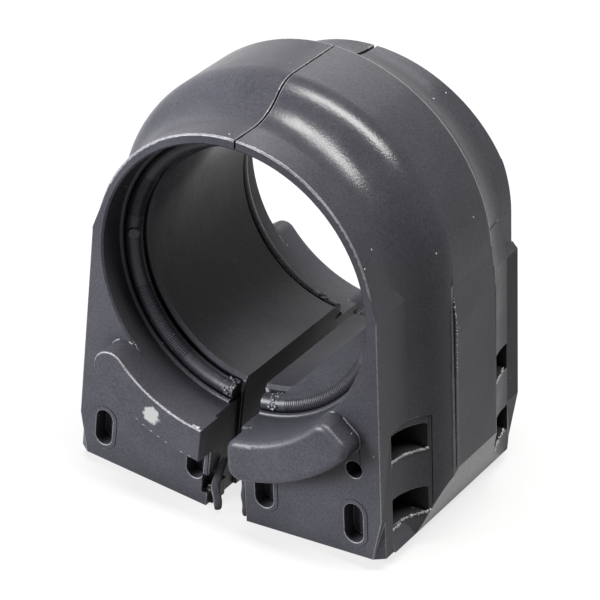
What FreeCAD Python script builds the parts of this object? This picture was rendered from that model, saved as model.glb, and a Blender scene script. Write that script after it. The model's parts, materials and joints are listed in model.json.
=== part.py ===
import FreeCAD, Part
import math
import os

# Split rubber bushing for a heavy stabiliser bar, moulded in one piece. Millimetres.
# The origin is on the bore axis, in the middle of the raised band that the bracket strap grips.
# The bore runs along Y, the front face looks along -Y, and the open slot is at the bottom.
# Each half is built closed, with its slot wall upright, and is then swung out by its own splay.

# Bore and the space round its two ends
boreRadius = 24.0
boreLength = 32.4
boreChamfer = 0.7
counterboreStep = 4.1
counterboreChamfer = 0.35
beadTubeRadius = 1.75
beadStep = 2.5
beadSink = 0.2
lipTubeRadius = 0.65
lipFromBead = 1.9
beadSlotGap = 0.9

# Outer form: rim, cove, rounded shoulder, band, ridge, rear cove and rear rim
frontReach = 25.6
rearReach = 25.4
bandWidth = 14.7
rimWall = 1.6
bandRise = 5.7
crownRise = 0.5
coveRadius = 10.0
shoulderRadius = 7.2
shoulderSink = 0.7
rearRimWidth = 5.2
edgeRound = 0.45
leanDepth = 3.1
leanStart = 8.0
leanHeight = 22.0

# Legs and base
baseDepth = 48.5
leftSplay = 3.7
rightSplay = 4.9
slotHalfWidth = 0.3
slotRelief = 0.6
bevelHeight = 12.3
bevelInset = 5.3
heelInset = 2.1
frontHeelHeight = 8.5
frontHeelLength = 1.5
rearHeelHeight = 10.5
footProud = 1.2
footHeight = 4.0

# Raised side pads: one on the band, a low one on the front rim and one on the rear rim
padProud = 0.8
padTop = -7.0
padRampHeight = 8.0
rimPadProud = 0.8
rimPadTop = 1.0
rimPadRampTurn = 22.0
rimPadSink = 0.25
rimPadLength = 11.0
rearPadProud = 1.2
rearPadWidth = 4.4
rearPadStep = 1.3

# Closed seam at the crown, opened a little at the rear rim
seamWidth = 0.35
hingeWeb = 4.5
seamMouthWidth = 2.0
seamMouthLength = 9.7

# Vertical obround pockets in the end faces, and a round hole beside each round lug
pocketDepth = 3.2
pocketBorder = 0.9
borderProud = 0.12
squarePocketWidth = 3.7
squarePocketHeight = 7.6
squareOuterFromRim = 4.9
squareOuterBelow = 41.2
squareInnerFromSlot = 3.7
squareInnerBelow = 39.4
roundPocketWidth = 4.0
roundPocketHeight = 8.1
roundOuterFromRim = 5.1
roundOuterBelow = 41.7
roundInnerFromSlot = 5.0
roundInnerBelow = 40.0
pinHoleRadius = 1.7
pinHoleDepth = 4.2
pinHoleFromRim = 4.75
pinHoleBelow = 30.3

# Side windows, sunk in a shallow panel of the cove
windowStart = 4.6
windowLength = 8.8
windowHeight = 5.3
windowDepth = 7.0
upperWindowBelow = 27.9
lowerWindowBelow = 41.3
panelSink = 0.25
panelTop = 23.6
panelMargin = 0.5

# Lugs on the end faces
lugReach = 5.4
squareLugWidth = 7.0
squareLugRound = 0.3
squareLugSlotGap = 0.2
squareLugEndAngle = 48.0
roundLugWidth = 8.5
roundLugCorner = 2.6
roundLugSlotGap = 0.6
roundLugRound = 1.3
roundLugEndAngle = 41.0

# Torn remains of moulding webs at the front of the left slot wall
nibStart = 1.3
nibLength = 4.2
nibThickness = 1.5
nibRise = 4.0
notchWidth = 1.3
notchHeight = 4.2
notchDepth = 2.6
notchBelow = 43.6

# Values that follow from the sizes above
counterboreRadius = boreRadius + counterboreStep
beadRadius = boreRadius + beadStep
rimRadius = counterboreRadius + rimWall
bandRadius = rimRadius + bandRise
frontFace = -frontReach
rearFace = rearReach
bandFront = -bandWidth / 2
bandRear = bandWidth / 2
boreFront = -boreLength / 2
boreRear = boreLength / 2
farAway = 3 * (bandRadius + baseDepth)
yAxis = FreeCAD.Vector(0, 1, 0)
origin = FreeCAD.Vector(0, 0, 0)


def vec(x, y, z):
    return FreeCAD.Vector(x, y, z)


def boxBetween(x0, x1, y0, y1, z0, z1):
    return Part.makeBox(x1 - x0, y1 - y0, z1 - z0, vec(x0, y0, z0))


def arcBetween(start, middle, end):
    return Part.Arc(start, middle, end).toShape()


def prismXZ(points, y0, y1):
    """A prism along the bore axis from a closed outline of (x, z) points."""
    corners = [vec(x, y0, z) for x, z in points]
    wire = Part.makePolygon(corners + [corners[0]])
    return Part.Face(wire).extrude(vec(0, y1 - y0, 0))


def cylinderY(radius, y0, y1, x=0.0, z=0.0):
    return Part.makeCylinder(radius, y1 - y0, vec(x, y0, z), yAxis)


def sideProfile(inset):
    """Half section of the outer form in the plane of the bore axis, inset by a small amount."""
    rim = rimRadius - inset
    band = bandRadius - inset
    z = crownRise
    frontTurn = math.acos(1 - (band - rim) / (coveRadius + shoulderRadius))
    shoulderEnd = bandFront + shoulderSink
    coveEnd = shoulderEnd - shoulderRadius * math.sin(frontTurn)
    coveStart = coveEnd - coveRadius * math.sin(frontTurn)
    halfTurn = frontTurn / 2
    frontCove = arcBetween(
        vec(rim, coveStart, z),
        vec(rim + coveRadius * (1 - math.cos(halfTurn)), coveStart + coveRadius * math.sin(halfTurn), z),
        vec(rim + coveRadius * (1 - math.cos(frontTurn)), coveEnd, z))
    shoulder = arcBetween(
        vec(rim + coveRadius * (1 - math.cos(frontTurn)), coveEnd, z),
        vec(band - shoulderRadius * (1 - math.cos(halfTurn)), shoulderEnd - shoulderRadius * math.sin(halfTurn), z),
        vec(band, shoulderEnd, z))
    rearCoveEnd = rearFace - rearRimWidth
    run = rearCoveEnd - bandRear
    rearTurn = 2 * math.atan((band - rim) / run)
    rearRadius = run / math.sin(rearTurn)
    halfRear = rearTurn / 2
    rearCove = arcBetween(
        vec(band, bandRear, z),
        vec(rim + rearRadius * (1 - math.cos(halfRear)), rearCoveEnd - rearRadius * math.sin(halfRear), z),
        vec(rim, rearCoveEnd, z))
    bend = edgeRound * (1 - math.sqrt(0.5))
    frontEdge = arcBetween(
        vec(rim - edgeRound, frontFace, z),
        vec(rim - bend, frontFace + bend, z),
        vec(rim, frontFace + edgeRound, z))
    rearEdge = arcBetween(
        vec(rim, rearFace - edgeRound, z),
        vec(rim - bend, rearFace - bend, z),
        vec(rim - edgeRound, rearFace, z))
    edges = [
        Part.makeLine(vec(0, frontFace, z), vec(rim - edgeRound, frontFace, z)),
        frontEdge,
        Part.makeLine(vec(rim, frontFace + edgeRound, z), vec(rim, coveStart, z)),
        frontCove,
        shoulder,
        Part.makeLine(vec(band, shoulderEnd, z), vec(band, bandRear, z)),
        rearCove,
        Part.makeLine(vec(rim, rearCoveEnd, z), vec(rim, rearFace - edgeRound, z)),
        rearEdge,
        Part.makeLine(vec(rim - edgeRound, rearFace, z), vec(0, rearFace, z)),
        Part.makeLine(vec(0, rearFace, z), vec(0, frontFace, z))]
    return Part.Face(Part.Wire(edges))


def outerForm():
    """Crown turned round the bore and carried straight down to the base."""
    face = sideProfile(0.0)
    crown = face.revolve(vec(0, 0, crownRise), yAxis, -(90 + 2 * max(leftSplay, rightSplay)))
    leg = face.extrude(vec(0, 0, -(baseDepth + crownRise)))
    return crown.fuse(leg)


def bandPad():
    """Flat pad on the side of the band, ramped in at its top."""
    outer = bandRadius + padProud
    outline = [
        (boreRadius, -baseDepth),
        (outer, -baseDepth),
        (outer, padTop),
        (bandRadius, padTop + padRampHeight),
        (boreRadius, padTop + padRampHeight)]
    return prismXZ(outline, bandFront, bandRear)


def rimPad():
    """Low pad on the side of the front rim, run out at its top into the round of the crown."""
    outer = rimRadius + rimPadProud
    turn = math.radians(rimPadRampTurn)
    sunk = rimRadius - rimPadSink
    endX = sunk * math.cos(turn)
    endZ = crownRise + sunk * math.sin(turn)
    return prismXZ([
        (boreRadius, -baseDepth),
        (outer, -baseDepth),
        (outer, rimPadTop),
        (endX, endZ),
        (boreRadius, endZ)], frontFace, frontFace + rimPadLength)


def rearPad():
    """Pad on the side of the rear rim, and the shallower cove that runs out to it from the band pad."""
    band = bandRadius + padProud
    outer = rimRadius + rearPadProud
    padFront = rearFace - rearPadWidth
    run = padFront - bandRear
    turn = 2 * math.atan((band - outer) / run)
    radius = run / math.sin(turn)
    half = turn / 2
    cove = arcBetween(
        vec(band, bandRear, padTop),
        vec(outer + radius * (1 - math.cos(half)), padFront - radius * math.sin(half), padTop),
        vec(outer, padFront, padTop))
    plan = Part.Face(Part.Wire([
        Part.makeLine(vec(boreRadius, bandRear, padTop), vec(band, bandRear, padTop)),
        cove,
        Part.makeLine(vec(outer, padFront, padTop), vec(boreRadius, padFront, padTop)),
        Part.makeLine(vec(boreRadius, padFront, padTop), vec(boreRadius, bandRear, padTop))]))
    foot = plan.extrude(vec(0, 0, -baseDepth - padTop))
    ramp = plan.extrude(vec(-rearPadProud, 0, padRampHeight))
    rim = prismXZ([
        (boreRadius, -baseDepth),
        (outer, -baseDepth),
        (outer, padTop),
        (rimRadius, padTop + rearPadStep),
        (boreRadius, padTop + rearPadStep)], padFront, rearFace)
    return foot.fuse([ramp, rim])


def frontFoot():
    """Foot below the front windows, out to the line of the long bevel."""
    outer = rimRadius + footProud
    start = frontFace + windowStart - panelMargin
    return prismXZ([
        (boreRadius, -baseDepth),
        (outer, -baseDepth),
        (rimRadius, -baseDepth + footHeight),
        (boreRadius, -baseDepth + footHeight)], start, bandFront)


def baseBevel():
    """What the long bevel at the foot of the band takes away."""
    outer = bandRadius + padProud
    return prismXZ([
        (outer - bevelInset, -baseDepth),
        (outer, -baseDepth + bevelHeight),
        (farAway, -baseDepth + bevelHeight),
        (farAway, -farAway),
        (outer - bevelInset, -farAway)], frontFace, rearFace)


def heelCut(outer, face, inward, height, length):
    """Wedge off the lower corner of a rim, widest at the base in the end face."""
    low, high = sorted((face, face + inward * length))
    slant = prismXZ([
        (outer - heelInset, -baseDepth),
        (outer, -baseDepth + height),
        (farAway, -baseDepth + height),
        (farAway, -farAway),
        (outer - heelInset, -farAway)], low, high)
    corners = [
        vec(outer - heelInset, face, 0),
        vec(outer + heelInset, face + 2 * inward * length, 0),
        vec(outer + heelInset, face, 0)]
    plan = Part.Face(Part.makePolygon(corners + [corners[0]])).extrude(vec(0, 0, -farAway))
    return slant.common(plan)


def rearLean():
    """Slanted slice off the rear end of the crown, which leans forward towards the seam."""
    corners = [
        vec(-farAway, rearFace, leanStart),
        vec(-farAway, rearFace - 2 * leanDepth, leanStart + 2 * leanHeight),
        vec(-farAway, rearFace + leanDepth, leanStart + 2 * leanHeight),
        vec(-farAway, rearFace + leanDepth, leanStart)]
    return Part.Face(Part.makePolygon(corners + [corners[0]])).extrude(vec(2 * farAway, 0, 0))


def obround(across, below, width, height, y0, y1):
    """A prism along the bore axis with a vertical slot-shaped section."""
    radius = width / 2
    top = -below + height / 2 - radius
    bottom = -below - height / 2 + radius
    middle = boxBetween(across - radius, across + radius, y0, y1, bottom, top)
    return middle.fuse([cylinderY(radius, y0, y1, across, top), cylinderY(radius, y0, y1, across, bottom)])


def facePockets(face, inward, square):
    """Raised outlines and the cuts inside them, for one end face of one half."""
    if square:
        width, height = squarePocketWidth, squarePocketHeight
        centres = [(rimRadius - squareOuterFromRim, squareOuterBelow),
                   (slotHalfWidth + squareInnerFromSlot, squareInnerBelow)]
    else:
        width, height = roundPocketWidth, roundPocketHeight
        centres = [(rimRadius - roundOuterFromRim, roundOuterBelow),
                   (slotHalfWidth + roundInnerFromSlot, roundInnerBelow)]
    borders = []
    cuts = []
    for across, below in centres:
        low, high = sorted((face - inward * borderProud, face + inward * borderProud))
        wide = width + 2 * pocketBorder
        tall = height + 2 * pocketBorder
        borders.append(obround(across, below, wide, tall, low, high))
        low, high = sorted((face - 2 * inward * borderProud, face + inward * pocketDepth))
        cuts.append(obround(across, below, width, height, low, high))
    if not square:
        low, high = sorted((face - 2 * inward * borderProud, face + inward * pinHoleDepth))
        cuts.append(cylinderY(pinHoleRadius, low, high, rimRadius - pinHoleFromRim, -pinHoleBelow))
    return borders, cuts


def sidePanel(y0, y1):
    """Shallow panel that follows the cove and holds the two windows of one end."""
    block = boxBetween(boreRadius, farAway, y0, y1, -farAway, -panelTop)
    inner = sideProfile(panelSink).extrude(vec(0, 0, -farAway))
    return block.cut(inner)


def sideWindows():
    """The front panel, and rectangular windows in the front and the rear cove."""
    cuts = []
    windowFloor = rimRadius - windowDepth
    for mirrored in (False, True):
        start = windowStart
        end = windowStart + windowLength
        if mirrored:
            y0 = rearFace - end
            y1 = rearFace - start
        else:
            y0 = frontFace + start
            y1 = frontFace + end
            cuts.append(sidePanel(y0 - panelMargin, y1 + panelMargin))
        for below in (upperWindowBelow, lowerWindowBelow):
            low = -below - windowHeight / 2
            cuts.append(boxBetween(windowFloor, farAway, y0, y1, low, low + windowHeight))
    return cuts


def ringSector(outer, slotSide, endAngle, y0, y1):
    """Part of a ring round the counterbore, from the slot out to the lug's end angle."""
    ring = cylinderY(outer, y0, y1).cut(cylinderY(counterboreRadius, y0, y1))
    angle = math.radians(endAngle)
    corner = (farAway * math.cos(angle), -farAway * math.sin(angle))
    wedge = prismXZ([(0, 0), corner, (0, -farAway)], y0, y1)
    keep = boxBetween(slotSide, farAway, y0, y1, -farAway, 0)
    return ring.common(wedge).common(keep)


def squareLug(y0, y1, frontY):
    """Lug with a flat cut end at the slot and one round end."""
    outer = counterboreRadius + squareLugWidth
    middle = counterboreRadius + squareLugWidth / 2
    angle = math.radians(squareLugEndAngle)
    sector = ringSector(outer, squareLugSlotGap, squareLugEndAngle, y0, y1)
    tip = cylinderY(squareLugWidth / 2, y0, y1, middle * math.cos(angle), -middle * math.sin(angle))
    lug = sector.fuse(tip).removeSplitter()
    return roundFront(lug, frontY, squareLugRound)


def roundLug(y0, y1, frontY):
    """Lug rounded at both ends and along its front edge."""
    sector = ringSector(counterboreRadius + roundLugWidth, roundLugSlotGap, roundLugEndAngle, y0, y1)
    corners = []
    for edge in sector.Edges:
        box = edge.BoundBox
        if box.YLength > lugReach / 2 and box.XLength < edgeRound and box.ZLength < edgeRound:
            corners.append(edge)
    lug = sector.makeFillet(roundLugCorner, corners)
    return roundFront(lug, frontY, roundLugRound)


def roundFront(lug, frontY, radius):
    """Rounds the edges of a lug that lie in its free end plane."""
    edges = []
    for edge in lug.Edges:
        box = edge.BoundBox
        if abs(box.YMin - frontY) < radius / 10 and abs(box.YMax - frontY) < radius / 10:
            edges.append(edge)
    return lug.makeFillet(radius, edges)


def endRings():
    """Half-round bead and small lip inside each counterbore, cut short of the slot."""
    rings = []
    for boreEnd, inward in ((boreFront, 1), (boreRear, -1)):
        beadY = boreEnd - inward * (beadTubeRadius - beadSink)
        lipY = beadY - inward * lipFromBead
        rings.append(Part.makeTorus(beadRadius, beadTubeRadius, vec(0, beadY, 0), yAxis))
        rings.append(Part.makeTorus(counterboreRadius, lipTubeRadius, vec(0, lipY, 0), yAxis))
    keepOut = boxBetween(-farAway, slotHalfWidth + beadSlotGap, -farAway, farAway, -farAway, 0)
    return [ring.cut(keepOut) for ring in rings]


def boreCuts():
    """The bore, its chamfered ends and the two counterbores."""
    cuts = [cylinderY(boreRadius, frontFace - lugReach, rearFace + lugReach)]
    for boreEnd, faceEnd, inward in ((boreFront, frontFace, 1), (boreRear, rearFace, -1)):
        mouth = faceEnd - inward * lugReach
        low = min(mouth, boreEnd)
        high = max(mouth, boreEnd)
        cuts.append(cylinderY(counterboreRadius, low, high))
        axis = vec(0, inward, 0)
        cuts.append(Part.makeCone(boreRadius + boreChamfer, boreRadius, boreChamfer, vec(0, boreEnd, 0), axis))
        cuts.append(Part.makeCone(counterboreRadius + counterboreChamfer, counterboreRadius,
                                  counterboreChamfer, vec(0, faceEnd, 0), axis))
    return cuts


def slotCut():
    """Room below the bore for the slot, a little wider outside the bore's own length."""
    middle = boxBetween(-farAway, slotHalfWidth, boreFront, boreRear, -farAway, 0)
    ends = boxBetween(-farAway, slotHalfWidth + slotRelief, -farAway, boreFront, -farAway, 0)
    rear = boxBetween(-farAway, slotHalfWidth + slotRelief, boreRear, farAway, -farAway, 0)
    return middle.fuse([ends, rear])


def closedHalf(frontSquare):
    """One half in the closed place, on the side of positive x, with a square and a round lug."""
    frontBorders, frontCuts = facePockets(frontFace, 1, frontSquare)
    rearBorders, rearCuts = facePockets(rearFace, -1, not frontSquare)
    body = outerForm().fuse([bandPad(), rimPad(), rearPad()] + frontBorders + rearBorders)
    body = body.cut(sideWindows())
    body = body.fuse(frontFoot())
    body = body.cut([
        baseBevel(),
        heelCut(rimRadius + rimPadProud, frontFace, 1, frontHeelHeight, frontHeelLength),
        heelCut(rimRadius + rearPadProud, rearFace, -1, rearHeelHeight, rearPadWidth),
        rearLean()])
    body = body.cut(boreCuts())
    body = body.cut(slotCut())
    body = body.cut(frontCuts + rearCuts)
    frontLug = squareLug if frontSquare else roundLug
    rearLug = roundLug if frontSquare else squareLug
    front = frontLug(frontFace - lugReach, frontFace + counterboreChamfer, frontFace - lugReach)
    rear = rearLug(rearFace - counterboreChamfer, rearFace + lugReach, rearFace + lugReach)
    return body.fuse([front, rear] + endRings())


def swingOut(shape, splay):
    """Turns a closed half about the bore axis and trims it at the seam plane."""
    shape.rotate(origin, yAxis, -splay)
    return shape.common(boxBetween(0, farAway, -farAway, farAway, -farAway, farAway))


def leftRemains(half):
    """Notch and torn nib at the front of the slot wall, on the half that becomes the left one."""
    wall = slotHalfWidth + slotRelief
    notch = boxBetween(0, wall + notchWidth, frontFace - lugReach, frontFace + notchDepth,
                       -notchBelow - notchHeight / 2, -notchBelow + notchHeight / 2)
    half = half.cut(notch)
    nib = prismXZ([
        (slotHalfWidth, -baseDepth + nibRise),
        (slotHalfWidth, -baseDepth),
        (slotHalfWidth + nibThickness, -baseDepth),
        (slotHalfWidth + nibThickness, -baseDepth + nibRise)],
        frontFace + nibStart, frontFace + nibStart + nibLength)
    return half.fuse(nib)


def seamCut():
    """Thin closed seam down to the hinge web, with a wider mouth at the rear rim."""
    webTop = boreRadius + hingeWeb
    slit = boxBetween(-seamWidth / 2, seamWidth / 2, frontFace - lugReach, rearFace + lugReach, 0, farAway)
    slit = slit.cut(cylinderY(webTop, frontFace - 2 * lugReach, rearFace + 2 * lugReach))
    top = bandRadius + crownRise
    mouth = prismXZ([
        (-seamWidth / 2, webTop),
        (seamWidth / 2, webTop),
        (seamMouthWidth / 2, top),
        (-seamMouthWidth / 2, top)], rearFace - seamMouthLength, rearFace + lugReach)
    return slit.fuse(mouth)


def makeBushing():
    right = swingOut(closedHalf(False), rightSplay)
    left = swingOut(leftRemains(closedHalf(True)), leftSplay)
    left = left.mirror(origin, vec(1, 0, 0))
    body = right.fuse(left).removeSplitter()
    return body.cut(seamCut())


os.makedirs("parts", exist_ok=True)
bushing = makeBushing()
print("bushing", bushing.isValid(), len(bushing.Solids), "solids", round(bushing.Volume), "mm3")
box = bushing.BoundBox
print("box", [round(v, 2) for v in (box.XMin, box.XMax, box.YMin, box.YMax, box.ZMin, box.ZMax)])
if len(bushing.Solids) == 1:
    bushing = bushing.Solids[0]
bushing.exportStep("parts/bushing.step")
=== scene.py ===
import bpy
import bmesh
import json
import math
import random
from mathutils import Matrix, Vector
from mathutils.bvhtree import BVHTree
from mathutils.interpolate import poly_3d_calc

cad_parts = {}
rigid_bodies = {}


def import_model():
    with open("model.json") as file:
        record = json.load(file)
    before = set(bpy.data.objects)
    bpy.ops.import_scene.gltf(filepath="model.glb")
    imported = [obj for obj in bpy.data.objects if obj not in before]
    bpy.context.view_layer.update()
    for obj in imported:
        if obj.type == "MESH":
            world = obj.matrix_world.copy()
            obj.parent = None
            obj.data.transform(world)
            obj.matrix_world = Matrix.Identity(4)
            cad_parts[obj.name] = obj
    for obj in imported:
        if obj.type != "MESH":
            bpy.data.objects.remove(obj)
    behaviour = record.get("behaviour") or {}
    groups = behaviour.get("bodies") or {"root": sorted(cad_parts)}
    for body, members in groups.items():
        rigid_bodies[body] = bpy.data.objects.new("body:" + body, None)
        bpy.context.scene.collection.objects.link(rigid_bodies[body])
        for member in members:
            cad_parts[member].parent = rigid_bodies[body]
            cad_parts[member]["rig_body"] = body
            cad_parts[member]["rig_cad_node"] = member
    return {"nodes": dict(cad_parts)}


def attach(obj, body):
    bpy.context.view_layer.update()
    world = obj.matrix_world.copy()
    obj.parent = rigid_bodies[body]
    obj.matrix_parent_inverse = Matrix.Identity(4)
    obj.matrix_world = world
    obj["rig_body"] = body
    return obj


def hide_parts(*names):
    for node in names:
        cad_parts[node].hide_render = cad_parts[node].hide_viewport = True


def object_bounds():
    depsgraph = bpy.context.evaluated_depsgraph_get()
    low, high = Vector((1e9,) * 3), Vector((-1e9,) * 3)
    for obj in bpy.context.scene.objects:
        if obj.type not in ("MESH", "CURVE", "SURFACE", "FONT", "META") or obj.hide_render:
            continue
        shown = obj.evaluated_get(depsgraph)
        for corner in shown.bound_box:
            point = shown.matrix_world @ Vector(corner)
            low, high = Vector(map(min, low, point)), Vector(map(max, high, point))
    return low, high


# Split rubber bushing on a white table.
# The frame holds the moulding, and this file gives it its skin, its edge rounds and its small marks.
# The scene is in metres. The zones, ribs, crumbs, ribbons and nub are given in mm.
# The bore runs along Y and the open slot is at the bottom.

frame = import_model()
cadLow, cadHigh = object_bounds()
bushing = frame["nodes"]["bushing"]
mm = 0.001
mergeGap = 0.000002
legLean = {1: math.radians(4.9), -1: math.radians(3.7)}   # the right and the left leg splay a little


def deselectAll():
    if bpy.context.object and bpy.context.object.mode != "OBJECT":
        bpy.ops.object.mode_set(mode="OBJECT")
    bpy.ops.object.select_all(action="DESELECT")


def pick(obj):
    deselectAll()
    obj.select_set(True)
    bpy.context.view_layer.objects.active = obj


def applyPlace(obj):
    pick(obj)
    bpy.ops.object.transform_apply(location=True, rotation=True, scale=True)


def keepInside(piece):
    # nothing stands proud of the box that the solids fill
    for v in piece.data.vertices:
        v.co = [min(max(value, low), high) for value, low, high in zip(v.co, cadLow, cadHigh)]


def legPlace(side, u, y, v):
    # u outward from the slot, y along the bore and v up, half upright, to a place in the scene
    lean = legLean[side]
    across = u * math.cos(lean) - v * math.sin(lean)
    return Vector((side * across, y, u * math.sin(lean) + v * math.cos(lean))) * mm


def legRead(spot):
    side = 1 if spot.x >= 0.0 else -1
    lean = legLean[side]
    across, up = abs(spot.x) / mm, spot.z / mm
    u = across * math.cos(lean) + up * math.sin(lean)
    v = up * math.cos(lean) - across * math.sin(lean)
    return u, spot.y / mm, v


def within(value, limits):
    return limits[0] < value < limits[1]


# node helpers, the ones called steps give back the socket that carries their result
def addNode(t, kind, place):
    n = t.nodes.new(kind)
    n.location = place
    return n


def mathStep(t, kind, place, first, second):
    n = addNode(t, "ShaderNodeMath", place)
    n.operation = kind
    for slot, value in ((0, first), (1, second)):
        if isinstance(value, (int, float)):
            n.inputs[slot].default_value = value
        else:
            t.links.new(value, n.inputs[slot])
    return n.outputs[0]


def rangeStep(t, place, value, source, target):
    n = addNode(t, "ShaderNodeMapRange", place)
    n.inputs["From Min"].default_value, n.inputs["From Max"].default_value = source
    n.inputs["To Min"].default_value, n.inputs["To Max"].default_value = target
    t.links.new(value, n.inputs["Value"])
    return n.outputs["Result"]


def noiseStep(t, place, vector, scale, detail, roughness=0.5):
    n = addNode(t, "ShaderNodeTexNoise", place)
    n.inputs["Scale"].default_value = scale
    n.inputs["Detail"].default_value = detail
    n.inputs["Roughness"].default_value = roughness
    t.links.new(vector, n.inputs["Vector"])
    return n.outputs["Fac"]


def colourStep(t, place, kind, factor, first, second):
    n = addNode(t, "ShaderNodeMix", place)
    n.data_type = "RGBA"
    n.blend_type = kind
    for slot, value in (("Factor", factor), ("A", first), ("B", second)):
        socket = [i for i in n.inputs if i.name == slot and (slot == "Factor" or i.type == "RGBA")][0]
        if isinstance(value, (int, float, tuple)):
            socket.default_value = value
        else:
            t.links.new(value, socket)
    return [o for o in n.outputs if o.type == "RGBA"][0]


def seenPlainly(t):
    # 1 where the camera or a mirror-like reflection looks
    path = addNode(t, "ShaderNodeLightPath", (-300, 200))
    seen = mathStep(t, "MAXIMUM", (-100, 200), path.outputs["Is Camera Ray"], path.outputs["Is Glossy Ray"])
    return path, seen


# camera at the photograph's angle
cameraSetup = {
    "location": (0.24909, -0.41816, 0.27116),
    "turn": (59.586, -2.141, 32.104),   # degrees, with the photograph's slight roll
    "lens": 180.0,
    "sensor": 36.0,
    "near": 0.01,
    "far": 20.0,
}


def makeCamera(s):
    deselectAll()
    bpy.ops.object.camera_add(location=s["location"], rotation=[math.radians(a) for a in s["turn"]])
    cam = bpy.context.object
    cam.name = "productCamera"
    cam.data.lens = s["lens"]
    cam.data.sensor_width = s["sensor"]
    cam.data.clip_start = s["near"]
    cam.data.clip_end = s["far"]
    bpy.context.scene.camera = cam


makeCamera(cameraSetup)
print("camera placed")

# floor, lamps and world
stageSetup = {
    "floorSize": 6.0,
    "floorGap": 0.00005,
    "floorColour": (0.28, 0.28, 0.28, 1.0),
    "floorWhite": 0.76,                 # how much of plain white the camera sees over the shaded floor
    "worldColour": (0.86, 0.88, 0.95, 1.0),
    "worldLevel": 0.08,
}

lampSetup = {
    "overhead": {
        "place": (0.10, -0.01, 0.62),
        "aim": (0.01, 0.00, 0.02),
        "along": (1.0, 0.1, 0.0),       # which way the long side runs
        "size": (0.64, 0.20),
        "power": 20.5,
        "colour": (1.0, 0.985, 0.96),
    },
    "frontLeft": {
        "place": (-0.52, -0.74, 0.24),
        "aim": (0.0, 0.0, -0.01),
        "along": (0.8, -0.6, 0.0),
        "size": (0.50, 0.50),
        "power": 38.0,
        "colour": (0.96, 0.97, 1.0),
    },
    "back": {
        "place": (-0.20, 0.80, 0.56),
        "aim": (0.0, 0.0, 0.01),
        "along": (1.0, 0.2, 0.0),
        "size": (0.60, 0.34),
        "power": 1.6,
        "colour": (0.98, 0.98, 1.0),
    },
}


def makeFloor(s):
    deselectAll()
    bpy.ops.mesh.primitive_plane_add(size=s["floorSize"], location=(0.0, 0.0, cadLow.z - s["floorGap"]))
    floor = bpy.context.object
    floor.name = "tableTop"
    applyPlace(floor)
    mat = bpy.data.materials.new("paleTable")
    mat.use_nodes = True
    t = mat.node_tree
    t.nodes.clear()
    out = addNode(t, "ShaderNodeOutputMaterial", (600, 0))
    blend = addNode(t, "ShaderNodeMixShader", (400, 0))
    paint = addNode(t, "ShaderNodeBsdfDiffuse", (100, -120))
    white = addNode(t, "ShaderNodeEmission", (100, -260))
    paint.inputs["Color"].default_value = s["floorColour"]
    white.inputs["Strength"].default_value = 1.0
    path, seen = seenPlainly(t)
    share = mathStep(t, "MULTIPLY", (100, 200), seen, s["floorWhite"])
    t.links.new(share, blend.inputs[0])
    t.links.new(paint.outputs[0], blend.inputs[1])
    t.links.new(white.outputs[0], blend.inputs[2])
    t.links.new(blend.outputs[0], out.inputs["Surface"])
    floor.data.materials.append(mat)


def makeWorld(s):
    world = bpy.data.worlds.new("whiteRoom")
    bpy.context.scene.world = world
    world.use_nodes = True
    t = world.node_tree
    t.nodes.clear()
    out = addNode(t, "ShaderNodeOutputWorld", (600, 0))
    blend = addNode(t, "ShaderNodeMixShader", (400, 0))
    room = addNode(t, "ShaderNodeBackground", (150, 0))
    white = addNode(t, "ShaderNodeBackground", (150, -150))
    room.inputs["Color"].default_value = s["worldColour"]
    room.inputs["Strength"].default_value = s["worldLevel"]
    white.inputs["Strength"].default_value = 1.0
    white.inputs["Color"].default_value = (1.0, 1.0, 1.0, 1.0)
    path, seen = seenPlainly(t)
    clear = mathStep(t, "MAXIMUM", (100, 200), seen, path.outputs["Is Transmission Ray"])
    t.links.new(clear, blend.inputs[0])
    t.links.new(room.outputs[0], blend.inputs[1])
    t.links.new(white.outputs[0], blend.inputs[2])
    t.links.new(blend.outputs[0], out.inputs["Surface"])


def makeLamps(setup):
    for name, s in setup.items():
        deselectAll()
        back = (Vector(s["place"]) - Vector(s["aim"])).normalized()
        along = Vector(s["along"])
        along = (along - back * along.dot(back)).normalized()
        turn = Matrix((along, back.cross(along), back)).transposed().to_euler()
        bpy.ops.object.light_add(type="AREA", location=s["place"], rotation=turn)
        lamp = bpy.context.object
        lamp.name = name + "Lamp"
        lamp.data.shape = "RECTANGLE"
        lamp.data.size, lamp.data.size_y = s["size"]
        lamp.data.energy = s["power"]
        lamp.data.color = s["colour"]


makeFloor(stageSetup)
makeWorld(stageSetup)
makeLamps(lampSetup)
bpy.context.scene.view_settings.view_transform = "Standard"
print("stage, world and lamps set")

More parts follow.
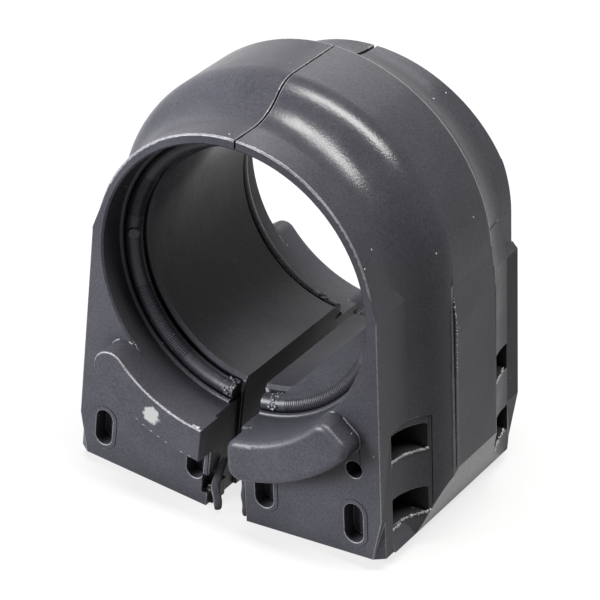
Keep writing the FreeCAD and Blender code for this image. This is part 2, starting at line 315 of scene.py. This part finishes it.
# rubber, plain, in its states of wear and with painted shade, highlight and reflection, read from Object
# coordinates
rubberSetup = {
    "dark": (0.014, 0.014, 0.018, 1.0),
    "light": (0.027, 0.027, 0.032, 1.0),
    "roughLow": 0.18,
    "roughHigh": 0.33,
    "crownShadeTint": 0.66,                  # painted shade: the crown and its right flank are darker
    "crownShadeAlong": (0.8, 0.0, 0.5),
    "crownShadeSpan": (0.004, 0.022),
    "legRough": 0.13,                   # the legs are duller than the crown
    "legSpan": (-0.015, 0.018),
    "specular": 1.0,
    "bend": 1.18,                       # refraction, low because dusty rubber is dull at a slant
    "noiseSpan": (0.3, 0.7),            # noise seldom leaves this span
    "paintedShadeReach": 0.010,
    "paintedShadeSamples": 6,
    "paintedShadeSpan": (0.15, 0.85),
    "paintedShadeKeep": 0.16,                # painted shade: what is left of the tint deep inside the recesses
    "cloudScale": 85.0,                 # per metre
    "cloudDetail": 7.0,
    "cloudBreak": 0.62,
    "speckScale": 2300.0,
    "speckDetail": 3.0,
    "speckDepth": 0.24,                 # how far the fine mottling swings the tint
    "grainScale": 2400.0,
    "grainDetail": 3.0,
    "grainHeight": 0.000030,
    "waveScale": 150.0,
    "waveDetail": 2.0,
    "waveHeight": 0.00009,
    "scratchScale": 520.0,
    "scratchDetail": 4.0,
    "scratchTurn": (0.4, 0.3, 0.9),
    "scratchStretch": (1.0, 0.12, 1.0),
    "scratchHeight": 0.000014,
    "dust": (0.30, 0.30, 0.31, 1.0),
    "dustScale": 330.0,
    "dustSize": 0.055,                  # share of a cell
    "dustCover": 0.7,
    "dustPatch": 61.0,                  # scale of the patches that dust lies in
    "dustGate": 0.57,
    "dab": None,                        # centre and radius of a dab of paint
    "dabColour": (0.16, 0.16, 0.156, 1.0),
    "dabScale": 900.0,
    "dabRagged": 0.28,
    "dabEdge": (0.85, 1.15),
    "dabCover": 0.9,
    "dabRough": 0.3,
}

edgeSetup = dict(rubberSetup, dark=(0.060, 0.060, 0.066, 1.0), light=(0.120, 0.120, 0.128, 1.0),
                 roughLow=0.28, roughHigh=0.42, legRough=0.04, dustGate=0.52)
# the foot bevel's light tint is scuffing plus a painted reflection of the white table
footScuffAndReflectionSetup = dict(rubberSetup, dark=(0.160, 0.160, 0.163, 1.0), light=(0.260, 0.260, 0.263, 1.0),
                 roughLow=0.40, roughHigh=0.55, legRough=0.05, speckDepth=0.3, grainHeight=0.00005)
# painted shade: the window recesses take a slightly darker, less glossy rubber
windowShadeSetup = dict(rubberSetup, dark=(0.014, 0.014, 0.016, 1.0), light=(0.026, 0.026, 0.029, 1.0),
                 roughLow=0.45, roughHigh=0.60, specular=0.35, paintedShadeKeep=0.30)
dullSetup = dict(rubberSetup, roughLow=0.40, roughHigh=0.52, specular=0.45)
pocketSetup = dict(rubberSetup, paintedShadeKeep=0.9, roughLow=0.35, roughHigh=0.45)
flashAndGlintSetup = dict(edgeSetup, dark=(0.09, 0.09, 0.095, 1.0), light=(0.20, 0.20, 0.20, 1.0), paintedShadeKeep=0.7)
dabbedSetup = dict(rubberSetup, dab=((-0.01311, -0.0310, -0.02862), 0.0017))


def makeTint(t, s, spot, cloud):
    # broad clouds, fine mottling, painted shade in the recesses, painted shade on the crown and its right
    # flank, specks of dust
    speck = noiseStep(t, (-450, 500), spot, s["speckScale"], s["speckDetail"])
    tint = colourStep(t, (0, 300), "MIX", cloud, s["dark"], s["light"])
    swing = (1.0 - s["speckDepth"], 1.0 + s["speckDepth"])
    mottle = rangeStep(t, (-200, 500), speck, s["noiseSpan"], swing)
    tint = colourStep(t, (200, 400), "MULTIPLY", 1.0, tint, mottle)
    # painted shade: ambient occlusion darkens the tint in recesses, creases and between parts
    recessShadeProbe = addNode(t, "ShaderNodeAmbientOcclusion", (-200, 700))
    recessShadeProbe.samples = s["paintedShadeSamples"]
    recessShadeProbe.inputs["Distance"].default_value = s["paintedShadeReach"]
    depth = rangeStep(t, (0, 700), recessShadeProbe.outputs["AO"], s["paintedShadeSpan"], (s["paintedShadeKeep"], 1.0))
    tint = colourStep(t, (400, 500), "MULTIPLY", 1.0, tint, depth)
    # painted shade: the tint darkens towards the crown and its right flank
    lean = addNode(t, "ShaderNodeVectorMath", (-450, 1250))
    lean.operation = "DOT_PRODUCT"
    lean.inputs[1].default_value = s["crownShadeAlong"]
    t.links.new(spot, lean.inputs[0])
    crownShade = rangeStep(t, (-200, 1250), lean.outputs["Value"], s["crownShadeSpan"], (1.0, s["crownShadeTint"]))
    tint = colourStep(t, (500, 500), "MULTIPLY", 1.0, tint, crownShade)
    cells = addNode(t, "ShaderNodeTexVoronoi", (-450, 900))
    cells.inputs["Scale"].default_value = s["dustScale"]
    t.links.new(spot, cells.inputs["Vector"])
    near = mathStep(t, "LESS_THAN", (-200, 900), cells.outputs["Distance"], s["dustSize"])
    patch = noiseStep(t, (-450, 1150), spot, s["dustPatch"], 2.0)
    gate = mathStep(t, "GREATER_THAN", (-200, 1050), patch, s["dustGate"])
    dusty = mathStep(t, "MULTIPLY", (-50, 950), near, gate)
    dusty = mathStep(t, "MULTIPLY", (0, 950), dusty, s["dustCover"])
    return colourStep(t, (600, 600), "MIX", dusty, tint, s["dust"])


def makeRelief(t, s, spot):
    # broad waves, faint drawn scratches, fine grain
    stretch = addNode(t, "ShaderNodeMapping", (-680, -600))
    stretch.inputs["Rotation"].default_value = s["scratchTurn"]
    stretch.inputs["Scale"].default_value = s["scratchStretch"]
    t.links.new(spot, stretch.inputs["Vector"])
    drawn = stretch.outputs["Vector"]
    layers = (
        (s["waveHeight"], noiseStep(t, (-450, -350), spot, s["waveScale"], s["waveDetail"])),
        (s["scratchHeight"], noiseStep(t, (-450, -600), drawn, s["scratchScale"], s["scratchDetail"])),
        (s["grainHeight"], noiseStep(t, (-450, -100), spot, s["grainScale"], s["grainDetail"])),
    )
    below = None
    for i, (height, source) in enumerate(layers):
        bump = addNode(t, "ShaderNodeBump", (150 * i, -300))
        bump.inputs["Strength"].default_value = 1.0
        bump.inputs["Distance"].default_value = height
        t.links.new(source, bump.inputs["Height"])
        if below:
            t.links.new(below, bump.inputs["Normal"])
        below = bump.outputs["Normal"]
    return below


def addDab(t, s, spot, tint, rough):
    centre, radius = s["dab"]
    away = addNode(t, "ShaderNodeVectorMath", (-450, 1400))
    away.operation = "DISTANCE"
    away.inputs[1].default_value = centre
    t.links.new(spot, away.inputs[0])
    edge = noiseStep(t, (-450, 1600), spot, s["dabScale"], 4.0)
    ragged = rangeStep(t, (-200, 1500), edge, s["noiseSpan"], (-s["dabRagged"], s["dabRagged"]))
    reach = mathStep(t, "DIVIDE", (-100, 1400), away.outputs["Value"], radius)
    reach = mathStep(t, "ADD", (0, 1450), reach, ragged)
    painted = rangeStep(t, (200, 1450), reach, s["dabEdge"], (s["dabCover"], 0.0))
    tint = colourStep(t, (800, 700), "MIX", painted, tint, s["dabColour"])
    duller = mathStep(t, "MULTIPLY", (400, 150), painted, s["dabRough"])
    return tint, mathStep(t, "ADD", (500, 50), rough, duller)


def makeRubber(name, s):
    mat = bpy.data.materials.new(name)
    mat.use_nodes = True
    t = mat.node_tree
    t.nodes.clear()
    out = addNode(t, "ShaderNodeOutputMaterial", (1300, 0))
    skin = addNode(t, "ShaderNodeBsdfPrincipled", (1000, 0))
    spot = addNode(t, "ShaderNodeTexCoord", (-900, 0)).outputs["Object"]
    cloud = noiseStep(t, (-450, 300), spot, s["cloudScale"], s["cloudDetail"], s["cloudBreak"])
    tint = makeTint(t, s, spot, cloud)
    # roughness follows the clouds, and the legs are duller
    rough = rangeStep(t, (0, 0), cloud, s["noiseSpan"], (s["roughLow"], s["roughHigh"]))
    parts = addNode(t, "ShaderNodeSeparateXYZ", (-450, 100))
    t.links.new(spot, parts.inputs[0])
    dull = rangeStep(t, (-200, 100), parts.outputs["Z"], s["legSpan"], (s["legRough"], 0.0))
    rough = mathStep(t, "ADD", (300, 0), rough, dull)
    if s["dab"]:
        tint, rough = addDab(t, s, spot, tint, rough)
    t.links.new(tint, skin.inputs["Base Color"])
    t.links.new(rough, skin.inputs["Roughness"])
    t.links.new(makeRelief(t, s, spot), skin.inputs["Normal"])
    skin.inputs["Specular IOR Level"].default_value = s["specular"]
    skin.inputs["IOR"].default_value = s["bend"]
    t.links.new(skin.outputs[0], out.inputs["Surface"])
    return mat


rubber = makeRubber("blackRubber", rubberSetup)
wornEdge = makeRubber("wornRubberEdge", edgeSetup)
paleFlashAndGlint = makeRubber("paleFlashAndGlint", flashAndGlintSetup)
finishes = {
    "plain": makeRubber("mouldedRubber", dabbedSetup),
    "worn": wornEdge,                   # the bevel puts this on every round
    "footScuffAndReflection": makeRubber("scuffedFootPaintedReflection", footScuffAndReflectionSetup),
    "window": makeRubber("windowShadeRubber", windowShadeSetup),
    "rearSide": makeRubber("dullRubber", dullSetup),
    "pocket": makeRubber("pocketRubber", pocketSetup),
    # painted highlight: the small step at the front of the slot wall takes the pale flash tint
    "slotStepGlint": paleFlashAndGlint,
}
finishOrder = list(finishes)
print("rubber made")

# moulding with its small edge rounds
mouldingSetup = {
    "flatten": math.radians(0.03),
    "round": 0.34 * mm,                 # width at full weight
    "segments": 2,
    "plainWeight": 0.5,
    "sharp": math.radians(50),
    "ridge": math.radians(36),
    "ridgeY": 7.35,
    "lugFace": -31.0,
    "inPlane": 0.06,                    # how close both ends of an edge are to the plane it lies in
    "rimY": (25.0, 25.7),               # the rim is round already
    "rimRadius": (28.6, 30.8),
    "room": 0.30 * mm,
    "runsOn": 0.85,                     # cosine from which a short edge only carries the line on
    "overshoot": 0.12 * mm,
    "smooth": math.radians(40),
    "probe": 0.06 * mm,                 # how far inside its corner a face's shade is read
    "probeShare": 0.3,
    "agrees": 0.90,                     # cosine between a shade and the face that may take it
}

# where the moulding has a finish of its own: u outward from the slot, y along the bore, v up, in mm
zoneSetup = {
    "windowU": (22.4, 34.8),
    "windowY": (11.9, 21.1),
    "windowV": ((-30.6, -25.2), (-44.0, -38.6)),
    "pocketU": (2.5, 34.0),
    "pocketY": (22.2, 25.3),
    "pocketTop": -30.5,
    "pinHoleU": 25.5,
    "pinHoleTop": -22.0,
    "squareTilt": (0.3, 0.95),          # a pocket's wall or floor is outside this tilt
    "lipY": (30.2, 30.99),
    "lipTilt": (0.2, 0.97),
    "lipUp": 0.1,
    "rimY": (25.0, 25.57),
    "rimFrom": 29.0,
    "cornerY": (20.5, 25.3),
    "cornerFrom": 31.0,
    "cornerTilt": (0.2, 0.95),
    "padY": 20.95,
    "padFrom": 30.8,
    "padV": (-36.0, -5.0),
    "padTilt": 0.9,
    "stepY": (-16.5, -15.9),
    "stepFront": -0.9,
    "stepU": 1.2,
    "stepV": (-31.0, -24.0),
    "footTop": -36.0,
    "footOut": (0.918, -0.396),         # u and v of the direction that the long bevel faces
    "footAgrees": 0.995,
}


def weighEdges(body, s):
    mesh = bmesh.new()
    mesh.from_mesh(body.data)
    layer = mesh.edges.layers.float.new("bevel_weight_edge")
    for e in mesh.edges:
        if len(e.link_faces) != 2:
            continue
        turn = e.calc_face_angle(0.0)
        ends = [v.co / mm for v in e.verts]
        onRidge = all(abs(abs(p.y) - s["ridgeY"]) < s["inPlane"] for p in ends)
        onRim = all(within(abs(p.y), s["rimY"]) for p in ends)
        onRim = onRim and all(within(math.hypot(p.x, p.z), s["rimRadius"]) for p in ends)
        if not onRim and (turn > s["sharp"] or (onRidge and turn > s["ridge"])):
            onLug = all(abs(p.y - s["lugFace"]) < s["inPlane"] for p in ends)
            e[layer] = 1.0 if onLug or onRidge else s["plainWeight"]
    # a corner where a short edge turns away has no room for the round, so the round stops short of it
    for v in mesh.verts:
        soft = [e for e in v.link_edges if e[layer] > 0.0]
        for e in soft:
            along = (e.other_vert(v).co - v.co).normalized()
            for other in v.link_edges:
                if other is e or other.calc_length() > s["room"]:
                    continue
                if abs((other.other_vert(v).co - v.co).normalized().dot(along)) < s["runsOn"]:
                    e[layer] = 0.0
                    break
    mesh.to_mesh(body.data)
    mesh.free()


def zoneOf(p, z):
    u, y, v = legRead(p.center)
    end = abs(y)
    tilt = abs(p.normal.y)
    outward = p.normal.y * math.copysign(1.0, y)
    atWindow = any(within(v, span) for span in z["windowV"])
    if atWindow and within(end, z["windowY"]) and within(u, z["windowU"]):
        return "window"
    square = tilt < z["squareTilt"][0] or tilt > z["squareTilt"][1]
    low = v < z["pocketTop"] or (u > z["pinHoleU"] and v < z["pinHoleTop"])
    if square and low and within(end, z["pocketY"]) and within(u, z["pocketU"]):
        return "pocket"
    # painted highlight on the slot wall's small front step
    if within(y, z["stepY"]) and p.normal.y < z["stepFront"] and u < z["stepU"] and within(v, z["stepV"]):
        return "slotStepGlint"
    if within(end, z["rimY"]) and within(tilt, z["lipTilt"]) and max(u, math.hypot(u, v)) > z["rimFrom"]:
        return "worn"
    flatLug = y * p.center.x > 0.0     # the lug with the cut end is on the left in front
    if flatLug and within(end, z["lipY"]) and within(outward, z["lipTilt"]) and p.normal.z > z["lipUp"]:
        return "worn"
    if p.material_index != 0:
        return None
    if within(y, z["cornerY"]) and u > z["cornerFrom"] and within(p.normal.y, z["cornerTilt"]):
        return "rearSide"
    if y > z["padY"] and u > z["padFrom"] and within(v, z["padV"]) and abs(p.normal.x) > z["padTilt"]:
        return "rearSide"
    # painted reflection: the long foot bevel, which faces the table, takes the lighter scuffed finish
    side = 1 if p.center.x >= 0.0 else -1
    out = legPlace(side, z["footOut"][0], 0.0, z["footOut"][1]).normalized()
    if v < z["footTop"] and p.normal.dot(out) > z["footAgrees"]:
        return "footScuffAndReflection"
    return None


def paintFaces(body, z):
    for p in body.data.polygons:
        zone = zoneOf(p, z)
        if zone:
            p.material_index = finishOrder.index(zone)


def keepCadShade(body, node, s):
    # every corner takes the smooth direction that the node has there
    source = node.data
    corners = [c.vector.copy() for c in source.corner_normals]
    shade = [c.vector.copy() for c in body.data.corner_normals]
    for p in body.data.polygons:
        if p.material_index == finishOrder.index("worn"):
            continue
        for loop in p.loop_indices:
            tip = body.data.vertices[body.data.loops[loop].vertex_index].co
            inward = p.center - tip
            spot = tip + inward * min(s["probeShare"], s["probe"] / max(inward.length, 1e-9))
            found, near, normal, index = node.closest_point_on_mesh(spot)
            if not found:
                continue
            face = source.polygons[index]
            shares = poly_3d_calc([source.vertices[i].co for i in face.vertices], near)
            smooth = Vector((0.0, 0.0, 0.0))
            for share, corner in zip(shares, face.loop_indices):
                smooth += corners[corner] * share
            if smooth.length > 0.1 and smooth.normalized().dot(p.normal) > s["agrees"]:
                shade[loop] = smooth.normalized()
            else:
                shade[loop] = p.normal.copy()
    body.data.normals_split_custom_set(shade)


def makeMoulding(node, s, zones):
    body = node.copy()
    body.data = node.data.copy()
    body.name = "mouldedBody"
    bpy.context.scene.collection.objects.link(body)
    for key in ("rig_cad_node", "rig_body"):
        if key in body:
            del body[key]
    body.parent = None
    pick(body)
    body.data.materials.clear()
    for mat in finishes.values():
        body.data.materials.append(mat)
    bpy.ops.object.mode_set(mode="EDIT")
    bpy.ops.mesh.select_all(action="SELECT")
    bpy.ops.mesh.remove_doubles(threshold=mergeGap)
    bpy.ops.mesh.dissolve_limited(angle_limit=s["flatten"])
    bpy.ops.mesh.vert_connect_concave()   # a flat ring left whole would close over its hole
    bpy.ops.object.mode_set(mode="OBJECT")
    weighEdges(body, s)
    soften = body.modifiers.new("edgeRound", "BEVEL")
    soften.width = s["round"]
    soften.segments = s["segments"]
    soften.limit_method = "WEIGHT"
    soften.use_clamp_overlap = False
    soften.material = finishOrder.index("worn")
    bpy.ops.object.modifier_apply(modifier="edgeRound")
    # a corner where many edges meet can overshoot, so it goes back onto the moulding
    for v in body.data.vertices:
        found, spot, normal, index = node.closest_point_on_mesh(v.co)
        if found and (spot - v.co).length > s["overshoot"]:
            v.co = spot
    keepInside(body)
    paintFaces(body, zones)
    bpy.ops.object.shade_smooth_by_angle(angle=s["smooth"])
    keepCadShade(body, node, s)
    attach(body, "root")
    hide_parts("bushing")
    return body


moulding = makeMoulding(bushing, mouldingSetup, zoneSetup)
print("moulding rounded", len(moulding.data.polygons), "faces")


# shared steps for the small pieces
def carry(piece, name, mat):
    applyPlace(piece)
    keepInside(piece)
    piece.name = name
    piece.data.name = name
    piece.data.materials.clear()
    piece.data.materials.append(mat)
    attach(piece, "root")
    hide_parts("bushing")


def cleanShell(piece):
    pick(piece)
    bpy.ops.object.mode_set(mode="EDIT")
    bpy.ops.mesh.select_all(action="SELECT")
    bpy.ops.mesh.remove_doubles(threshold=mergeGap)
    bpy.ops.mesh.select_all(action="DESELECT")
    bpy.ops.mesh.select_non_manifold()
    bpy.ops.mesh.fill_holes(sides=0)
    bpy.ops.mesh.select_all(action="SELECT")
    bpy.ops.mesh.normals_make_consistent(inside=False)
    bpy.ops.object.mode_set(mode="OBJECT")


def joinAll(pieces):
    deselectAll()
    for piece in pieces:
        piece.select_set(True)
    bpy.context.view_layer.objects.active = pieces[0]
    bpy.ops.object.join()
    return bpy.context.object


def copyOf(piece, matrix):
    twin = piece.copy()
    twin.data = piece.data.copy()
    bpy.context.scene.collection.objects.link(twin)
    twin.data.transform(matrix)
    return twin


# fine ribs across the bead in both ends of the bore, mm and degrees
ribSetup = {
    "ring": 26.5,
    "level": -17.75,
    "tube": 1.75,
    "height": 0.13,
    "sunk": 0.06,
    "base": 0.27,
    "pitch": 0.45,
    "wobble": 0.07,                     # share of the pitch
    "start": -50.0,                     # round the tube, from the liner side
    "sweep": 160.0,
    "steps": 7,
    "blank": 0.2,
    "spans": ((150.5, 171.5), (203.5, 238.5), (-70.5, -22.5)),
}


def makeRibs(s):
    deselectAll()
    bpy.ops.mesh.primitive_circle_add(vertices=3, radius=s["blank"] * mm, fill_type="NGON")
    rib = bpy.context.object
    turn = math.radians(s["start"])
    outward = Vector((-math.cos(turn), -math.sin(turn), 0.0))
    centre = Vector((s["ring"], s["level"], 0.0)) * mm
    corners = ((s["tube"] + s["height"], 0.0), (s["tube"] - s["sunk"], 0.5), (s["tube"] - s["sunk"], -0.5))
    for v, (away, across) in zip(rib.data.vertices, corners):
        v.co = centre + outward * away * mm + Vector((0.0, 0.0, across * s["base"] * mm))
    sweep = -math.radians(s["sweep"])
    bpy.ops.object.mode_set(mode="EDIT")
    bpy.ops.mesh.select_all(action="SELECT")
    bpy.ops.mesh.spin(steps=s["steps"], angle=sweep, center=centre, axis=(0.0, 0.0, 1.0))
    bpy.ops.object.mode_set(mode="OBJECT")
    cleanShell(rib)
    copies = []
    step = math.degrees(s["pitch"] / (s["ring"] - s["tube"] * 0.5))
    for low, high in s["spans"]:
        for i in range(int((high - low) / step) + 1):
            wobble = random.uniform(-s["wobble"], s["wobble"]) * step
            copies.append(copyOf(rib, Matrix.Rotation(-math.radians(low + i * step + wobble), 4, "Y")))
    bpy.data.objects.remove(rib)
    front = joinAll(copies)
    rear = copyOf(front, Matrix.Rotation(math.pi, 4, "Z"))
    carry(front, "frontBeadRibs", rubber)
    carry(rear, "rearBeadRibs", rubber)


# crumbs of flash: one lump, shaken out of true, then copied along lines on the moulding
crumbSetup = {
    "lines": (
        # side, from and to as u, y, v, count, smallest and largest across
        (1, (30.2, -20.9, -30.55), (33.4, -12.5, -30.55), 40, 0.25, 0.62),
        (1, (30.2, -20.9, -43.95), (33.4, -12.5, -43.95), 44, 0.25, 0.65),
        (-1, (30.2, -20.9, -30.55), (33.4, -12.5, -30.55), 26, 0.25, 0.60),
        (-1, (30.2, -20.9, -43.95), (33.4, -12.5, -43.95), 26, 0.25, 0.60),
        (1, (33.4, 12.4, -30.55), (30.2, 20.7, -30.55), 30, 0.25, 0.60),
        (1, (33.4, 12.4, -43.95), (30.2, 20.7, -43.95), 30, 0.25, 0.60),
        (1, (36.2, -7.4, -1.0), (36.2, -7.4, -17.0), 26, 0.18, 0.42),
        (-1, (1.0, -30.5, -26.6), (2.2, -30.5, -27.6), 14, 0.30, 0.70),
    ),
    "shake": 0.30,
    "spread": 0.13,
    "jitter": 0.4,
    "long": 1.3,
    "turnRange": 6.28,
    "cutEnds": ((264.0, 259.0), (-78.5, -74.0)),   # degrees round the bore of the bead's rough ends
    "cutCount": 30,
    "cutRoll": (-60.0, 110.0),          # degrees round the bead's tube
    "cutSize": (0.35, 0.75),
}


def anyTurn(limit):
    first = Matrix.Rotation(random.uniform(0.0, limit), 4, "Z")
    return first @ Matrix.Rotation(random.uniform(0.0, limit), 4, "X")


def makeCrumbs(s):
    points = [v.co for v in moulding.data.vertices]
    skin = BVHTree.FromPolygons(points, [p.vertices for p in moulding.data.polygons])
    deselectAll()
    bpy.ops.mesh.primitive_ico_sphere_add(subdivisions=1, radius=0.5 * mm)
    lump = bpy.context.object
    for v in lump.data.vertices:
        v.co *= 1.0 + random.uniform(-s["shake"], s["shake"])
    lines = []
    for side, first, last, count, small, large in s["lines"]:
        for i in range(count):
            share = (i + random.uniform(-s["jitter"], s["jitter"])) / count
            at = [a + (b - a) * share for a, b in zip(first, last)]
            at[2] += random.uniform(-s["spread"], s["spread"])
            near = skin.find_nearest(legPlace(side, *at))[0]
            size = random.uniform(small, large)
            shape = anyTurn(s["turnRange"]) @ Matrix.Diagonal((size, size * s["long"], size, 1.0))
            lines.append(copyOf(lump, Matrix.Translation(near) @ shape))
    ends = []
    for first, last in s["cutEnds"]:
        for i in range(s["cutCount"]):
            turn = math.radians(random.uniform(first, last))
            roll = math.radians(random.uniform(*s["cutRoll"]))
            away = ribSetup["ring"] - ribSetup["tube"] * math.cos(roll)
            level = ribSetup["level"] - ribSetup["tube"] * math.sin(roll)
            spot = Vector((away * math.cos(turn), level, away * math.sin(turn))) * mm
            tumble = anyTurn(s["turnRange"])
            shape = Matrix.Translation(spot) @ tumble @ Matrix.Scale(random.uniform(*s["cutSize"]), 4)
            for half in (0.0, math.pi):
                ends.append(copyOf(lump, Matrix.Rotation(half, 4, "Z") @ shape))
    bpy.data.objects.remove(lump)
    carry(joinAll(lines), "flashCrumbs", paleFlashAndGlint)
    carry(joinAll(ends), "beadCutEnds", wornEdge)


# loose ribbons of flash: a grid laid along a row of stations, thickened and smoothed
ribbonSetup = {
    "tornFlap": {
        "side": -1,
        # u, y, v and half width of each station, from its root down
        "stations": ((0.35, -20.8, -39.4, 0.35), (0.25, -22.2, -41.4, 0.60), (0.10, -24.0, -43.2, 0.75),
                     (-0.50, -25.2, -44.2, 0.70), (-1.70, -25.9, -45.4, 0.75), (-2.10, -26.2, -46.7, 0.65),
                     (-2.20, -26.3, -47.5, 0.45)),
        "thick": 0.55,
        "tilt": -0.50,
        "bow": 0.25,
        "shakeAcross": 0.06,
        "shakeDown": 0.12,
    },
    "slotFlash": {
        "side": 1,
        "stations": ((0.75, -25.3, -36.5, 0.30), (0.45, -25.4, -39.0, 0.45), (0.80, -25.4, -41.0, 0.35),
                     (0.30, -25.5, -43.2, 0.55), (0.75, -25.4, -45.0, 0.40), (0.40, -25.4, -46.6, 0.50),
                     (0.55, -25.3, -47.6, 0.35)),
        "thick": 0.35,
        "tilt": 0.10,
        "bow": 0.25,
        "shakeAcross": 0.06,
        "shakeDown": 0.12,
    },
}


def makeRibbon(name, s):
    deselectAll()
    rows = len(s["stations"])
    bpy.ops.mesh.primitive_grid_add(x_subdivisions=3, y_subdivisions=rows - 1, size=2.0)
    strip = bpy.context.object
    for v in strip.data.vertices:
        row = round((v.co.y + 1.0) * 0.5 * (rows - 1))
        u, y, down, half = s["stations"][row]
        y += v.co.x * s["tilt"] - s["bow"] * (1.0 - v.co.x * v.co.x) * half
        y += random.uniform(-s["shakeAcross"], s["shakeAcross"])
        down += random.uniform(-s["shakeDown"], s["shakeDown"])
        v.co = legPlace(s["side"], u + v.co.x * half, y, down)
    thicken = strip.modifiers.new("wall", "SOLIDIFY")
    thicken.thickness = s["thick"] * mm
    thicken.offset = 0.0
    smooth = strip.modifiers.new("smooth", "SUBSURF")
    smooth.levels = smooth.render_levels = 2
    pick(strip)
    bpy.ops.object.modifier_apply(modifier="wall")
    bpy.ops.object.modifier_apply(modifier="smooth")
    cleanShell(strip)
    bpy.ops.object.shade_smooth_by_angle(angle=math.radians(60))
    carry(strip, name, rubber)


# a moulded nub on the left of the front bead
nubSetup = {
    "turn": 179.0,                      # degrees round the bore
    "reach": 25.5,
    "level": -19.1,
    "across": 2.4,
    "height": 1.0,
    "sides": 20,
    "lean": (90.0, 0.0, 38.0),
    "round": 0.32,
}


def makeNub(s):
    deselectAll()
    turn = math.radians(s["turn"])
    spot = Vector((s["reach"] * math.cos(turn), s["level"], s["reach"] * math.sin(turn))) * mm
    lean = [math.radians(a) for a in s["lean"]]
    bpy.ops.mesh.primitive_cylinder_add(vertices=s["sides"], radius=0.5 * s["across"] * mm,
                                        depth=s["height"] * mm, location=spot, rotation=lean)
    nub = bpy.context.object
    applyPlace(nub)
    soften = nub.modifiers.new("crown", "BEVEL")
    soften.width = s["round"] * mm
    soften.segments = 3
    soften.limit_method = "ANGLE"
    soften.angle_limit = math.radians(50)
    bpy.ops.object.modifier_apply(modifier="crown")
    bpy.ops.object.shade_smooth_by_angle(angle=math.radians(40))
    carry(nub, "beadNub", rubber)


random.seed(41)
makeRibs(ribSetup)
print("bead ribs made")
makeCrumbs(crumbSetup)
for name, s in ribbonSetup.items():
    makeRibbon(name, s)
makeNub(nubSetup)
print("flash, crumbs and nub made")
